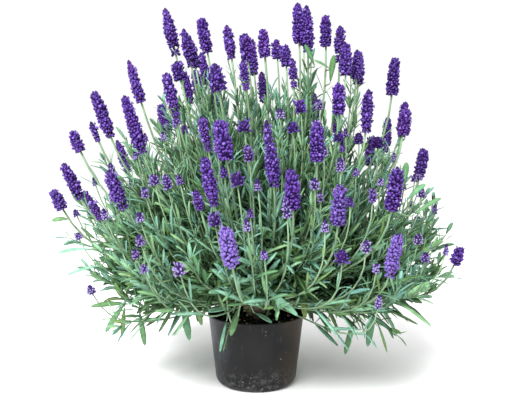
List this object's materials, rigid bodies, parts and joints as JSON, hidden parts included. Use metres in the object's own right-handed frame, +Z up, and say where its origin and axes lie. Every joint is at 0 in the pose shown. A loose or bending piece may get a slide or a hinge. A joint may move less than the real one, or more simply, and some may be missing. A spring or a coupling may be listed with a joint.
{
  "type": "potted lavender",
  "caption": "Bushy flowering lavender with violet spikes on radiating grey-green stems, growing in a round tapered black nursery pot filled with dark growing medium.",
  "frame": {"origin": "centre of the pot's flat underside", "axes": "+Z up, -Y towards the front of the plant, +X to the right seen from the front"},
  "size_m": [0.549, 0.5302, 0.5172],
  "materials": {
    "pot_plastic": "thin charcoal-black moulded plastic, slightly dusty and scuffed",
    "growing_medium": "dark moist peat mix with white specks",
    "bark": "rough grey-brown bark",
    "stem": "pale green square-ish stem, faintly downy",
    "leaf": "grey-green downy leaf, matte",
    "flower": "deep violet downy calyx whorls with lilac florets"
  },
  "bodies": {
    "root": {"nursery_pot": "pot_plastic", "growing_medium": "growing_medium", "woody_crown": "bark", "flower_stem_01": "stem", "flower_spike_01": "flower", "flower_stem_02": "stem", "flower_spike_02": "flower", "flower_stem_03": "stem", "flower_spike_03": "flower", "flower_stem_04": "stem", "flower_spike_04": "flower", "flower_stem_05": "stem", "flower_spike_05": "flower", "flower_stem_06": "stem", "flower_spike_06": "flower", "flower_stem_07": "stem", "flower_spike_07": "flower", "flower_stem_08": "stem", "flower_spike_08": "flower", "flower_stem_09": "stem", "flower_spike_09": "flower", "flower_stem_10": "stem", "flower_spike_10": "flower", "flower_stem_11": "stem", "flower_spike_11": "flower", "flower_stem_12": "stem", "flower_spike_12": "flower", "flower_stem_13": "stem", "flower_spike_13": "flower", "flower_stem_14": "stem", "flower_spike_14": "flower", "flower_stem_15": "stem", "flower_spike_15": "flower", "flower_stem_16": "stem", "flower_spike_16": "flower", "flower_stem_17": "stem", "flower_spike_17": "flower", "flower_stem_18": "stem", "flower_spike_18": "flower", "flower_stem_19": "stem", "flower_spike_19": "flower", "flower_stem_20": "stem", "flower_spike_20": "flower", "flower_stem_21": "stem", "flower_spike_21": "flower", "flower_stem_22": "stem", "flower_spike_22": "flower", "flower_stem_23": "stem", "flower_spike_23": "flower", "leafy_shoot_01": "leaf", "leafy_shoot_02": "leaf", "leafy_shoot_03": "leaf", "leafy_shoot_04": "leaf", "leafy_shoot_05": "leaf", "leafy_shoot_06": "leaf", "leafy_shoot_07": "leaf", "leafy_shoot_08": "leaf", "leafy_shoot_09": "leaf", "leafy_shoot_10": "leaf", "leafy_shoot_11": "leaf"}
  },
  "joints": []
}
